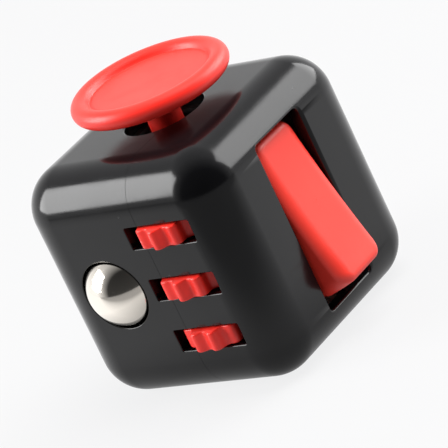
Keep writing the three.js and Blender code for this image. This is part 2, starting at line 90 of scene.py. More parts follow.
DIAL_RADIUS, DIAL_BACK, HUB_RADIUS = 9.0, 14.7, 2.6
DISH_LONG, DISH_SHORT, DISH_DEPTH = 10.0, 8.4, 2.2
PAD_RADIUS, PAD_INSIDE = 11.0, 12.4

SCREW_HOLE = 0.85

# ------------------------------------------------------------------ places, from the frame


def spanning_box(*nodes):
    boxes = [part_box(node) for node in nodes]
    low = Vector([min(box[0][axis] for box in boxes) for axis in range(3)])
    high = Vector([max(box[1][axis] for box in boxes) for axis in range(3)])
    return low, high


SHELL_LOW, SHELL_HIGH = spanning_box("shell_flip_half", "shell_breathe_half")
CENTRE = (SHELL_LOW + SHELL_HIGH) / 2
HALF = (SHELL_HIGH.x - SHELL_LOW.x) / 2 / MM
FLAT = HALF - EDGE
INSIDE = HALF - WALL


def face_frame(x_axis, y_axis, outward):
    """Millimetres about the cube's centre, +Z out of a face, into the model's metres."""
    turn = Matrix((x_axis, y_axis, outward)).transposed().to_4x4()
    return Matrix.Translation(CENTRE) @ turn @ Matrix.Scale(MM, 4)


CUBE = face_frame((1, 0, 0), (0, 1, 0), (0, 0, 1))
GLIDE = CUBE
ROLL = face_frame((1, 0, 0), (0, 0, 1), (0, -1, 0))
FLIP = face_frame((0, 1, 0), (0, 0, 1), (1, 0, 0))
CLICK = face_frame((-1, 0, 0), (0, 0, 1), (0, 1, 0))
BREATHE = face_frame((0, -1, 0), (0, 0, 1), (-1, 0, 0))
SPIN = face_frame((1, 0, 0), (0, -1, 0), (0, 0, -1))

STICK = (GLIDE @ Matrix.Translation((STICK_ACROSS, 0, GIMBAL))
         @ Matrix.Rotation(math.radians(STICK_LEAN), 4, "Y"))
ROCKER = (FLIP @ Matrix.Translation((0, 0, PIVOT))
          @ Matrix.Rotation(math.radians(ROCKER_TILT), 4, "X"))

WHEEL_PLACES = {"top": WHEEL_PITCH, "middle": 0.0, "bottom": -WHEEL_PITCH}
BUTTON_PLACES = [(0, 0)] + [(x * BUTTON_SPREAD, y * BUTTON_SPREAD)
                            for y in (-1, 1) for x in (-1, 1)]
POST_PLACES = [(POST_SPREAD, 0), (0, POST_SPREAD), (-POST_SPREAD, 0), (0, -POST_SPREAD)]

# ------------------------------------------------------------------ outlines


def arc(centre, radius, start, end, steps=8):
    """Points (x, y) on a circle from one angle to another, in degrees."""
    angles = [math.radians(start + (end - start) * i / steps) for i in range(steps + 1)]
    return [(centre[0] + radius * math.cos(a), centre[1] + radius * math.sin(a)) for a in angles]


def circle(radius, steps=96):
    return arc((0, 0), radius, 0, 360, steps)[:-1]


def rounded_rectangle(width, length, corner, steps=6):
    x, y = width / 2 - corner, length / 2 - corner
    return (arc((x, -y), corner, -90, 0, steps) + arc((x, y), corner, 0, 90, steps)
            + arc((-x, y), corner, 90, 180, steps) + arc((-x, -y), corner, 180, 270, steps))


def face_height(x, y):
    """Height of the cube's outer surface above its centre, over a point of a face."""
    over_x = max(0, abs(x) - FLAT)
    over_y = max(0, abs(y) - FLAT)
    return FLAT + math.sqrt(max(0, EDGE ** 2 - over_x ** 2 - over_y ** 2))


# ------------------------------------------------------------------ solids, in millimetres


def solid(points, faces, name="solid"):
    """A mesh object from points and faces, its faces turned outwards."""
    mesh = bpy.data.meshes.new(name)
    mesh.from_pydata([tuple(point) for point in points], [], faces)
    work = bmesh.new()
    work.from_mesh(mesh)
    bmesh.ops.remove_doubles(work, verts=work.verts, dist=1e-5)
    bmesh.ops.recalc_face_normals(work, faces=work.faces)
    work.to_mesh(mesh)
    work.free()
    piece = bpy.data.objects.new(name, mesh)
    bpy.context.scene.collection.objects.link(piece)
    return piece


def loft(loops):
    """A closed solid through a stack of loops with equal numbers of points."""
    count = len(loops[0])
    points = [point for loop in loops for point in loop]
    faces = [list(range(count)), list(range(len(points) - count, len(points)))]
    for level in range(len(loops) - 1):
        for i in range(count):
            j = (i + 1) % count
            low, high = level * count, (level + 1) * count
            faces.append((low + i, low + j, high + j, high + i))
    return solid(points, faces)


def revolve(profile, steps=96):
    """A solid of revolution about Z from (radius, height) points that start and end on the
    axis, or that go once round a closed section."""
    closed = profile[0][0] > 0
    rings = []
    points = []
    for radius, height in profile:
        if radius == 0:
            rings.append([len(points)] * steps)
            points.append((0, 0, height))
        else:
            rings.append(list(range(len(points), len(points) + steps)))
            points += [(x, y, height) for x, y in circle(radius, steps)]
    faces = []
    for k in range(len(rings) if closed else len(rings) - 1):
        here, after = rings[k], rings[(k + 1) % len(rings)]
        for i in range(steps):
            j = (i + 1) % steps
            corners = dict.fromkeys((here[i], here[j], after[j], after[i]))
            if len(corners) > 2:
                faces.append(list(corners))
    return solid(points, faces)


def rod(radius, low, high, steps=48):
    return loft([[(x, y, z) for x, y in circle(radius, steps)] for z in (low, high)])


def rounded_block(half_sizes, radius, steps=10):
    """A box with evenly rounded edges and corners, made of quads."""
    flats = [half - radius for half in half_sizes]
    band = [radius * math.tan(math.radians(45) * i / steps) for i in range(steps + 1)]
    points = []
    faces = []
    for axis in range(3):
        u, v = (axis + 1) % 3, (axis + 2) % 3
        across = [[-flats[k] - b for b in reversed(band)] + [flats[k] + b for b in band]
                  for k in (u, v)]
        for side in (-1, 1):
            start = len(points)
            for a in across[0]:
                for b in across[1]:
                    raw = [0.0, 0.0, 0.0]
                    raw[axis], raw[u], raw[v] = side * half_sizes[axis], a, b
                    core = Vector([max(-f, min(f, c)) for f, c in zip(flats, raw)])
                    points.append(core + radius * (Vector(raw) - core).normalized())
            width = len(across[1])
            for i in range(len(across[0]) - 1):
                for j in range(width - 1):
                    corner = start + i * width + j
                    faces.append((corner, corner + 1, corner + width + 1, corner + width))
    return solid(points, faces)


def opening(outline, deep, lip):
    """A cutter for an opening whose outer edge is rounded by lip. outline(grow) gives its loop
    in the face's plane; deep is how far in it reaches."""
    def level(grow, drop):
        return [(x, y, face_height(x, y) - drop) for x, y in outline(grow)]

    loops = [[(x, y, HALF - deep) for x, y in outline(0)]]
    for angle in range(0, 76, 15):
        turn = math.radians(angle)
        loops.append(level(lip * (1 - math.cos(turn)), lip * (1 - math.sin(turn))))
    loops.append(level(lip * 1.6, -lip * 0.5))
    loops.append([(x, y, HALF + 1) for x, y in outline(lip * 1.6)])
    return loft(loops)


def placed(piece, matrix):
    """The piece's mesh moved, so that its object stays at the origin."""
    piece.data.transform(matrix)
    if matrix.determinant() < 0:
        piece.data.flip_normals()
    return piece


def in_cube(piece, face):
    """From a face's millimetres into the cube's millimetres."""
    return placed(piece, CUBE.inverted() @ face)


def baked(piece):
    """The piece with its modifiers applied, as a plain mesh."""
    evaluated = piece.evaluated_get(bpy.context.evaluated_depsgraph_get())
    mesh = bpy.data.meshes.new_from_object(evaluated)
    piece.modifiers.clear()
    piece.data = mesh
    return piece


def combine(piece, others, operation):
    tools = bpy.data.collections.new("tools")
    bpy.context.scene.collection.children.link(tools)
    for other in others:
        tools.objects.link(other)
    boolean = piece.modifiers.new("combine", "BOOLEAN")
    boolean.operation = operation
    boolean.solver = "EXACT"
    boolean.operand_type = "COLLECTION"
    boolean.collection = tools
    baked(piece)
    for other in others:
        bpy.data.objects.remove(other)
    bpy.data.collections.remove(tools)
    return piece


def cut(piece, *cutters):
    return combine(piece, cutters, "DIFFERENCE")


def join(piece, *others):
    return combine(piece, others, "UNION")


# ------------------------------------------------------------------ shared shader groups


def shader_group(name, inputs, outputs):
    tree = bpy.data.node_groups.new(name, "ShaderNodeTree")
    for label, value in inputs.items():
        socket = tree.interface.new_socket(label, in_out="INPUT", socket_type="NodeSocketFloat")
        socket.default_value = value
    for label in outputs:
        tree.interface.new_socket(label, in_out="OUTPUT", socket_type="NodeSocketFloat")
    return tree, tree.nodes.new("NodeGroupInput"), tree.nodes.new("NodeGroupOutput")


def noise(tree, place, scale, detail=2.0, roughness=0.5):
    node = tree.nodes.new("ShaderNodeTexNoise")
    node.inputs["Scale"].default_value = scale
    node.inputs["Detail"].default_value = detail
    node.inputs["Roughness"].default_value = roughness
    tree.links.new(place, node.inputs["Vector"])
    return node.outputs[0]


def stretch(tree, value, low, high, to_low=0.0, to_high=1.0):
    node = tree.nodes.new("ShaderNodeMapRange")
    for socket, number in zip(("From Min", "From Max", "To Min", "To Max"),
                              (low, high, to_low, to_high)):
        node.inputs[socket].default_value = number
    tree.links.new(value, node.inputs["Value"])
    return node.outputs[0]


def maths(tree, operation, *values):
    node = tree.nodes.new("ShaderNodeMath")
    node.operation = operation
    for socket, value in zip(node.inputs, values):
        if isinstance(value, (int, float)):
            socket.default_value = value
        else:
            tree.links.new(value, socket)
    return node.outputs[0]


def object_place(tree, scale=(1, 1, 1), turn=(0, 0, 0)):
    """Object coordinates, stretched and turned for one pattern."""
    coordinates = tree.nodes.new("ShaderNodeTexCoord")
    mapping = tree.nodes.new("ShaderNodeMapping")
    mapping.inputs["Scale"].default_value = scale
    mapping.inputs["Rotation"].default_value = turn
    tree.links.new(coordinates.outputs["Object"], mapping.inputs["Vector"])
    return mapping.outputs[0]


def moulding_grain():
    """The fine spark-eroded texture of a mould, with the slow waviness of a moulded wall."""
    tree, given, result = shader_group("moulding_grain", {"Grain": 1.0, "Waviness": 1.0},
                                       ("Height",))
    place = object_place(tree)
    fine = noise(tree, place, 9000, 3.0, 0.6)
    slow = noise(tree, place, 90, 1.0)
    grain = maths(tree, "MULTIPLY", fine, given.outputs["Grain"])
    waves = maths(tree, "MULTIPLY", slow, given.outputs["Waviness"])
    tree.links.new(maths(tree, "ADD", grain, waves), result.inputs["Height"])
    return tree


def handling_marks():
    """Smudges from fingers and hair-fine scratches, as masks."""
    tree, given, result = shader_group("handling_marks", {"Smudges": 1.0, "Scratches": 1.0},
                                       ("Smudge", "Scratch"))
    blotches = stretch(tree, noise(tree, object_place(tree), 220, 4.0, 0.6), 0.42, 0.68)
    smudge = maths(tree, "MULTIPLY", blotches, given.outputs["Smudges"])
    lines = []
    for scale, turn in (((60, 4000, 900), (0.3, 0.2, 0.5)), ((3500, 80, 700), (0.9, 0.4, 0.1))):
        streaks = noise(tree, object_place(tree, scale, turn), 1.0, 1.0)
        lines.append(stretch(tree, streaks, 0.70, 0.76))
    scratch = maths(tree, "MULTIPLY", maths(tree, "MAXIMUM", *lines), given.outputs["Scratches"])
    tree.links.new(smudge, result.inputs["Smudge"])
    tree.links.new(scratch, result.inputs["Scratch"])
    return tree


def settled_dust():
    """Sparse pale specks of lint and dust."""
    tree, given, result = shader_group("settled_dust", {"Amount": 1.0}, ("Mask",))
    cells = tree.nodes.new("ShaderNodeTexVoronoi")
    cells.inputs["Scale"].default_value = 700
    tree.links.new(object_place(tree), cells.inputs["Vector"])
    spots = stretch(tree, cells.outputs["Distance"], 0.10, 0.05)
    chosen = stretch(tree, noise(tree, object_place(tree), 310, 2.0), 0.60, 0.66)
    mask = maths(tree, "MULTIPLY", maths(tree, "MULTIPLY", spots, chosen),
                 given.outputs["Amount"])
    tree.links.new(mask, result.inputs["Mask"])
    return tree


GRAIN = moulding_grain()
MARKS = handling_marks()
DUST = settled_dust()

# ------------------------------------------------------------------ materials


def placed_group(tree, group, **values):
    node = tree.nodes.new("ShaderNodeGroup")
    node.node_tree = group
    for label, value in values.items():
        node.inputs[label].default_value = value
    return node


def blend_colours(tree, mask, first, second):
    node = tree.nodes.new("ShaderNodeMix")
    node.data_type = "RGBA"
    for socket, value in ((node.inputs["Factor"], mask), (node.inputs[6], first),
                          (node.inputs[7], second)):
        if isinstance(value, (tuple, float)):
            socket.default_value = value
        else:
            tree.links.new(value, socket)
    return node.outputs[2]


def surface(name, colour, worn_colour, roughness, smudged, metallic=0.0, grain=1.0,
            waviness=1.0, bump=0.00001, dust=0.3, scratches=0.5, coat=0.0, specular=0.5):
    """A finish with its colour, grain, smudges, scratches and dust; colours are linear."""
    material = bpy.data.materials.new(name)
    material.use_nodes = True
    tree = material.node_tree
    shader = tree.nodes["Principled BSDF"]
    shader.inputs["Metallic"].default_value = metallic
    shader.inputs["Coat Weight"].default_value = coat
    shader.inputs["Coat Roughness"].default_value = 0.15
    shader.inputs["Specular IOR Level"].default_value = specular
    marks = placed_group(tree, MARKS, Smudges=1.0, Scratches=scratches)
    specks = placed_group(tree, DUST, Amount=dust)
    texture = placed_group(tree, GRAIN, Grain=grain, Waviness=waviness)

    tone = stretch(tree, noise(tree, object_place(tree), 130, 2.0), 0.3, 0.7)
    base = blend_colours(tree, tone, (*colour, 1.0), (*worn_colour, 1.0))
    pale = tuple(0.5 * c + 0.25 for c in worn_colour)
    dusty = blend_colours(tree, specks.outputs["Mask"], base, (*pale, 1.0))
    tree.links.new(dusty, shader.inputs["Base Color"])

    shine = stretch(tree, marks.outputs["Smudge"], 0.0, 1.0, roughness, smudged)
    dulled = maths(tree, "MULTIPLY", marks.outputs["Scratch"], 0.12)
    tree.links.new(maths(tree, "ADD", shine, dulled), shader.inputs["Roughness"])

    relief = tree.nodes.new("ShaderNodeBump")
    relief.inputs["Strength"].default_value = 1.0
    relief.inputs["Distance"].default_value = bump
    tree.links.new(texture.outputs["Height"], relief.inputs["Height"])
    tree.links.new(relief.outputs["Normal"], shader.inputs["Normal"])
    return material


BLACK_ABS = surface("black_abs", (0.0030, 0.0030, 0.0035), (0.0042, 0.0042, 0.0048), 0.13, 0.18,
                    grain=0.5, bump=0.000005, dust=0.15, specular=0.36)
RED_ABS = surface("red_abs", (0.93, 0.026, 0.017), (0.96, 0.031, 0.020), 0.38, 0.44,
                  grain=0.3, bump=0.000005, dust=0.2)
RED_SOFT = surface("red_soft_touch", (0.85, 0.040, 0.025), (0.89, 0.047, 0.030), 0.42, 0.48,
                   grain=1.0, bump=0.000008, dust=0.3)
BLACK_RUBBER = surface("black_rubber", (0.006, 0.006, 0.006), (0.009, 0.009, 0.009), 0.70, 0.80,
                       dust=0.0, specular=0.25)
PALE_NYLON = surface("pale_nylon", (0.62, 0.60, 0.53), (0.68, 0.66, 0.58), 0.45, 0.55, grain=0.8)
BLACK_NYLON = surface("black_nylon", (0.008, 0.008, 0.009), (0.012, 0.012, 0.013), 0.55, 0.65,
                      dust=0.0, specular=0.3)
SILICONE = surface("grey_silicone", (0.34, 0.36, 0.37), (0.38, 0.40, 0.41), 0.60, 0.72, dust=0.8)
BALL_STEEL = surface("polished_ball", (0.88, 0.82, 0.74), (0.92, 0.87, 0.79), 0.10, 0.14,
                     metallic=1.0, grain=0.02, waviness=0.1, bump=0.000002, dust=0.1)
PLATED_STEEL = surface("plated_steel", (0.48, 0.48, 0.49), (0.56, 0.55, 0.53), 0.28, 0.40,
                       metallic=1.0, grain=0.6, bump=0.000006, dust=0.1, scratches=1.0)

# ------------------------------------------------------------------ finishing a piece


def finish_piece(piece, name, place, material, body, nodes, sharp=32):
    """Puts a finished mesh into the model's metres, shades it and fastens it to its body."""
    placed(piece, place)
    piece.name = name
    piece.data.name = name
    piece.data.materials.clear()
    piece.data.materials.append(material)
    piece.data.polygons.foreach_set("use_smooth", [True] * len(piece.data.polygons))
    piece.data.set_sharp_from_angle(angle=math.radians(sharp))
    weighted = piece.modifiers.new("even shading", "WEIGHTED_NORMAL")
    weighted.keep_sharp = True
    baked(piece)
    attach(piece, body)
    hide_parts(*nodes)
    return piece


# ------------------------------------------------------------------ shell


def bowl_cutter(length, width, depth, face, roll):
    """Cutter for a shallow oval bowl. A larger roll lets its rim run more softly into the face."""
    over = 0.02                              # the rim crosses the face this far above it
    steps = 25

    def loop(share, z):
        return [(length * share * x, width * share * y, z) for x, y in circle(1.0)]

    loops = []
    for share in [i / steps for i in range(1, steps + 1)]:
        loops.append(loop(share, face + over - (depth + over) * (1 - share ** 2) ** roll))
    return loft(loops + [loop(1.02, face + 1)])


def shell_openings():
    slot = lambda grow: rounded_rectangle(SLOT_LENGTH + 2 * grow, SLOT_HEIGHT + 2 * grow,
                                          0.2 + grow, 3)
    cutters = []
    for height in WHEEL_PLACES.values():
        def slot_outline(grow, y=height):
            return [(u + AXLE_ACROSS, v + y) for u, v in slot(grow)]
        cutters.append(in_cube(opening(slot_outline, WALL + 1, 0.14), ROLL))
    cutters.append(in_cube(opening(lambda grow: [(x + BALL_ACROSS, y) for x, y in
                                                 circle(BALL_HOLE + grow)], WALL + 1, 0.12), ROLL))
    room = BALL_RADIUS + GAP
    seat = revolve([(0, BALL_DEEP - room)] + arc((0, BALL_DEEP), room, -85, 85, 34)
                   + [(0, BALL_DEEP + room)])
    placed(seat, Matrix.Translation((BALL_ACROSS, 0, 0)))
    cutters.append(in_cube(seat, ROLL))
    cutters.append(in_cube(opening(lambda grow: circle(STICK_HOLE + grow), WALL + 1, 0.3), GLIDE))
    cutters.append(in_cube(opening(lambda grow: rounded_rectangle(
        OPENING_WIDTH + 2 * grow, OPENING_LENGTH + 2 * grow, 0.8 + grow), WALL + 1, 0.5), FLIP))
    for x, y in BUTTON_PLACES:
        def button_outline(grow, x=x, y=y):
            return [(u + x, v + y) for u, v in circle(BUTTON_RADIUS + GAP + grow, 64)]
        cutters.append(in_cube(opening(button_outline, WALL + 1, 0.2), CLICK))
    cutters.append(in_cube(opening(lambda grow: circle(DIAL_RADIUS + GAP + grow), WALL + 1, 0.25),
                           SPIN))
    return cutters


def half_shell(side):
    """One half of the outer form: side 1 is the rocker's half, -1 the dish's half."""
    whole = rounded_block((HALF, HALF, HALF), EDGE, 12)
    work = bmesh.new()
    work.from_mesh(whole.data)
    everything = lambda: work.verts[:] + work.edges[:] + work.faces[:]
    lip = SEAM + side * (SEAM_WIDTH + SEAM_BREAK)
    face = SEAM + side * SEAM_WIDTH
    bmesh.ops.bisect_plane(work, geom=everything(), plane_co=(lip, 0, 0), plane_no=(1, 0, 0))
    bmesh.ops.bisect_plane(work, geom=everything(), plane_co=(face, 0, 0), plane_no=(side, 0, 0),
                           clear_inner=True)
    rim = [edge for edge in work.edges if edge.is_boundary]
    for vert in {vert for edge in rim for vert in edge.verts}:
        core = Vector((0, max(-FLAT, min(FLAT, vert.co.y)), max(-FLAT, min(FLAT, vert.co.z))))
        out = Vector((0, vert.co.y, vert.co.z)) - core
        vert.co -= SEAM_BREAK * out.normalized()
    bmesh.ops.contextual_create(work, geom=rim)
    bmesh.ops.recalc_face_normals(work, faces=work.faces)
    work.to_mesh(whole.data)
    work.free()
    return whole


def along_x(radius, low, high, y, z):
    turn = Matrix.Rotation(math.radians(90), 4, "Y")
    return placed(rod(radius, low, high, 32), Matrix.Translation((0, y, z)) @ turn)


def build_shell():
    pegs = [(y * PEG_PLACE, z * PEG_PLACE) for y in (-1, 1) for z in (-1, 1)]
    for side, name in ((1, "shell_flip_half"), (-1, "shell_breathe_half")):
        shell = half_shell(side)
        cut(shell, rounded_block((INSIDE, INSIDE, INSIDE), EDGE - WALL, 5))
        face = SEAM + side * SEAM_WIDTH
        bosses = [along_x(PEG_BOSS, *sorted((face, SEAM + side * BOSS_REACH)), y, z)
                  for y, z in pegs]
        posts = [in_cube(placed(rod(POST_RADIUS, PLATE_HIGH + GAP, INSIDE + 0.5, 32),
                                Matrix.Translation((x, y, 0))), CLICK)
                 for x, y in POST_PLACES if (-x - SEAM) * side > 0]
        extras = bosses + posts
        if side < 0:
            extras.append(in_cube(rod(PAD_RADIUS, PAD_INSIDE, INSIDE + 0.5), BREATHE))
        join(shell, *extras)
        cutters = shell_openings()
        cutters += [in_cube(placed(rod(SCREW_HOLE, PLATE_HIGH, INSIDE + 0.9, 24),
                                   Matrix.Translation((x, y, 0))), CLICK) for x, y in POST_PLACES]
        if side < 0:
            dish = bowl_cutter(DISH_LONG, DISH_SHORT, DISH_DEPTH, HALF, 1.16)
            cutters.append(in_cube(dish, BREATHE))
            cutters += [along_x(PEG_RADIUS + GAP, SEAM - PEG_DEPTH - GAP, SEAM + 1, y, z)
                        for y, z in pegs]
        cut(shell, *cutters)
        if side > 0:
            join(shell, *[along_x(PEG_RADIUS, SEAM - PEG_DEPTH, SEAM + 1, y, z) for y, z in pegs])
        finish_piece(shell, name.replace("shell", "case"), CUBE, BLACK_ABS, "case",
                     [name])


# ------------------------------------------------------------------ joystick


def build_joystick():
    rim = DISC_THICK / 2
    low = DISC_HEIGHT - rim
    floor = DISC_HEIGHT + rim - DISC_RECESS
    bead = DISC_RADIUS - rim
    profile = [(0, 6.9), (1.15, 6.9), (1.15, 3.55), (1.3, 3.4), (STEM_RADIUS - 0.2, 3.4)]
    profile += arc((STEM_RADIUS - 0.2, 3.6), 0.2, -90, 0, 4)
    profile += arc((STEM_RADIUS + 0.5, low - 0.5), 0.5, 180, 90, 8)
    profile += [(bead - 1, low)]
    profile += arc((bead, DISC_HEIGHT), rim, -90, 156, 40)
    crease = bead - rim - 0.02
    profile += [(crease + 0.03, floor - 0.02), (crease - 0.03, floor - 0.08),
                (crease - 0.12, floor - 0.08), (crease - 0.24, floor - 0.01)]
    profile += [(crease - 0.5, floor), (4.0, floor - 0.04), (0, floor - 0.05)]
    finish_piece(revolve(profile, 160), "disc_and_stem", STICK, RED_ABS, "joystick",
                 ["joystick_disc"], sharp=50)


# ------------------------------------------------------------------ ball


def build_ball():
    """A bearing ball as a cube rounded all the way, so that it has no poles."""
    ball = rounded_block((BALL_RADIUS,) * 3, BALL_RADIUS, 16)
    place = ROLL @ Matrix.Translation((BALL_ACROSS, 0, BALL_DEEP))
    finish_piece(ball, "bearing_ball", place, BALL_STEEL, "ball",
                 ["steel_ball"])


# ------------------------------------------------------------------ rocker


def paddle_outline(width, length, corner):
    """The paddle's outline with its outward directions, and points along its straight sides."""
    x, y = width / 2 - corner, length / 2 - corner
    outline = []
    normals = []
    for (u, v), start, along in (((x, -y), -90, 24), ((x, y), 0, 8),
                                 ((-x, y), 90, 24), ((-x, -y), 180, 8)):
        bend = arc((u, v), corner, start, start + 90, 10)
        outline += bend
        normals += arc((0, 0), 1, start, start + 90, 10)
        ahead = normals[-1]
        step = 2 * (abs(ahead[0]) * y + abs(ahead[1]) * x) / along
        outline += [(bend[-1][0] - ahead[1] * step * i, bend[-1][1] + ahead[0] * step * i)
                    for i in range(1, along)]
        normals += [ahead] * (along - 1)
    return outline, normals


def rocker_loops():
    """Outlines from the paddle's back up its walls, over its soft edges and across its face."""
    low, top = ROCKER_BACK - PIVOT, ROCKER_FACE - PIVOT
    corner, long_edge, end_edge, hollow = 2.1, 1.85, 1.1, 0.5
    outline, normals = paddle_outline(ROCKER_WIDTH, 2 * ROCKER_HALF, corner)
    soft = [long_edge * nx ** 2 + end_edge * ny ** 2 for nx, ny in normals]

    def loop(inset, drop, share=1.0, flare=0.0):
        points = []
        for (x, y), (nx, ny), edge in zip(outline, normals, soft):
            u = (x - nx * edge * inset) * share
            v = (y - ny * edge * inset) * share * (1 + flare / ROCKER_HALF)
            sag = hollow * max(0, 1 - (v / ROCKER_HALF) ** 2) if drop < 1 else 0
            points.append((u, v, top - edge * drop - sag * (1 - drop)))
        return points

    loops = [[(x, y, low) for x, y, _ in loop(0.06, 1.0, 1.0, 0.4)],
             [(x, y, low + 0.25) for x, y, _ in loop(0.0, 1.0, 1.0, 0.4)],
             [(x, y, 0.5 * (low + top)) for x, y, _ in loop(0.0, 1.0, 1.0, 0.2)]]
    steps = 12
    for i in range(steps + 1):
        angle = math.radians(90 * i / steps)
        loops.append(loop(1 - math.cos(angle), 1 - math.sin(angle)))
    loops += [loop(1.0, 0.0, share) for share in (0.92, 0.8, 0.62, 0.4, 0.2, 0.05)]
    return loops


def build_rocker():
    paddle = loft(rocker_loops())
    width = ROCKER_WIDTH / 2
    hub, hub_end, barrel, bore = 2.3, 0.3, 2.0, 1.35
    join(paddle, along_x(hub, hub_end - width, width - hub_end, 0, 0), rod(barrel, -5, -0.5, 40))
    cut(paddle, along_x(PIN_RADIUS + GAP, -width - 1, width + 1, 0, 0), rod(bore, -6, -1.7, 32))
    finish_piece(paddle, "rocker_paddle", ROCKER, RED_SOFT, "flip_switch",
                 ["rocker"], sharp=45)


# ------------------------------------------------------------------ buttons


def build_buttons():
    flange_high = INSIDE - GAP
    top = HALF + BUTTON_RISE
    for i, (x, y) in enumerate(BUTTON_PLACES, 1):
        profile = [(0, PLATE_LOW - 0.6), (0.5, PLATE_LOW - 0.6), (0.7, PLATE_LOW - 0.4),
                   (0.7, flange_high - 1), (BUTTON_FLANGE, flange_high - 1)]
        profile += arc((BUTTON_FLANGE - 0.15, flange_high - 0.15), 0.15, 0, 90, 3)
        profile += [(BUTTON_RADIUS, flange_high)]
        profile += arc((BUTTON_RADIUS - 0.6, top - 0.75), 0.6, 0, 75, 8)
        profile += [(1.2, top - 0.05), (0.6, top - 0.01), (0, top)]
        place = CLICK @ Matrix.Translation((x, y, 0))
        finish_piece(revolve(profile, 64), f"button_cap_{i}", place, RED_ABS, f"button_{i}",
                     [f"click_button_{i}"], sharp=40)


def build_domes():
    """Thin silicone domes between the plate and the buttons."""
    low, high, wall = PLATE_HIGH, INSIDE - 1 - 2 * GAP, 0.35
    profile = [(2.2, low), (2.9, low), (2.9, low + wall), (2.65, low + 0.6)]
    profile += arc((1.75, high - 0.2), 0.2, 20, 90, 4)
    profile += [(1.15, high), (1.05, high - 0.1), (1.05, high - 0.5), (1.2, high - 0.6),
                (1.5, high - 0.65), (2.2, low + wall)]
    for i, (x, y) in enumerate(BUTTON_PLACES, 1):
        place = CLICK @ Matrix.Translation((x, y, 0))
        dome = finish_piece(revolve(profile, 64), f"button_dome_{i}", place, SILICONE, "case",
                            [f"button_pad_{i}"], sharp=40)
        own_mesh(dome)


# ------------------------------------------------------------------ dial


def build_dial():
    top = HALF - GAP
    hub_end = 12.4
    profile = [(0, hub_end), (HUB_RADIUS, hub_end), (HUB_RADIUS, DIAL_BACK),
               (DIAL_RADIUS, DIAL_BACK)]
    profile += arc((DIAL_RADIUS - 0.35, top - 0.35), 0.35, 0, 90, 6)
    profile += [(DIAL_RADIUS - 1.3, top)]
    profile += arc((DIAL_RADIUS - 1.3, top - 0.3), 0.3, 90, 170, 4)
    face = top - 0.35
    profile += [(DIAL_RADIUS - 1.9, face), (0, face)]
    dial = revolve(profile, 128)
    dimple = placed(bowl_cutter(2.5, 2.5, 0.8, face, 1.2), Matrix.Translation((4.5, 0, 0)))
    cut(dial, rod(SCREW_HOLE, hub_end - 1, 15.2, 24), dimple)
    finish_piece(dial, "thumb_dial", SPIN, RED_ABS, "dial", ["spin_dial"], sharp=40)


# ------------------------------------------------------------------ geometry-node trees


class NodeTree:
    """A geometry node tree with named inputs, built call by call."""

    def __init__(self, name, inputs):
        self.tree = bpy.data.node_groups.new(name, "GeometryNodeTree")
        for label, (kind, value) in inputs.items():
            socket = self.tree.interface.new_socket(label, in_out="INPUT",
                                                    socket_type=f"NodeSocket{kind}")
            socket.default_value = value
        self.tree.interface.new_socket("Material", in_out="INPUT",
                                       socket_type="NodeSocketMaterial")
        self.tree.interface.new_socket("Geometry", in_out="OUTPUT",
                                       socket_type="NodeSocketGeometry")
        self.given = self.tree.nodes.new("NodeGroupInput").outputs

    def add(self, kind, *links, **settings):
        node = self.tree.nodes.new(kind)
        for key, value in settings.items():
            setattr(node, key, value)
        for socket, value in zip(node.inputs, links):
            self.feed(socket, value)
        return node

    def feed(self, socket, value):
        if isinstance(value, bpy.types.NodeSocket):
            self.tree.links.new(value, socket)
        elif value is not None:
            socket.default_value = value

    def maths(self, operation, *values):
        return self.add("ShaderNodeMath", *values, operation=operation).outputs[0]

    def finish(self, geometry):
        real = self.add("GeometryNodeRealizeInstances", geometry)
        painted = self.add("GeometryNodeSetMaterial", real.outputs[0], None,
                           self.given["Material"])
        result = self.tree.nodes.new("NodeGroupOutput")
        self.tree.links.new(painted.outputs[0], result.inputs[0])
        return self.tree


def grown(tree, start=None, **values):
    """A plain mesh object made by a geometry node tree with these input values."""
    piece = bpy.data.objects.new("grown", start or bpy.data.meshes.new("grown"))
    bpy.context.scene.collection.objects.link(piece)
    modifier = piece.modifiers.new("grow", "NODES")
    modifier.node_group = tree
    sockets = {item.name: item.identifier for item in tree.interface.items_tree
               if item.item_type == "SOCKET" and item.in_out == "INPUT"}
    for label, value in values.items():
        modifier[sockets[label.replace("_", " ")]] = value
    return baked(piece)


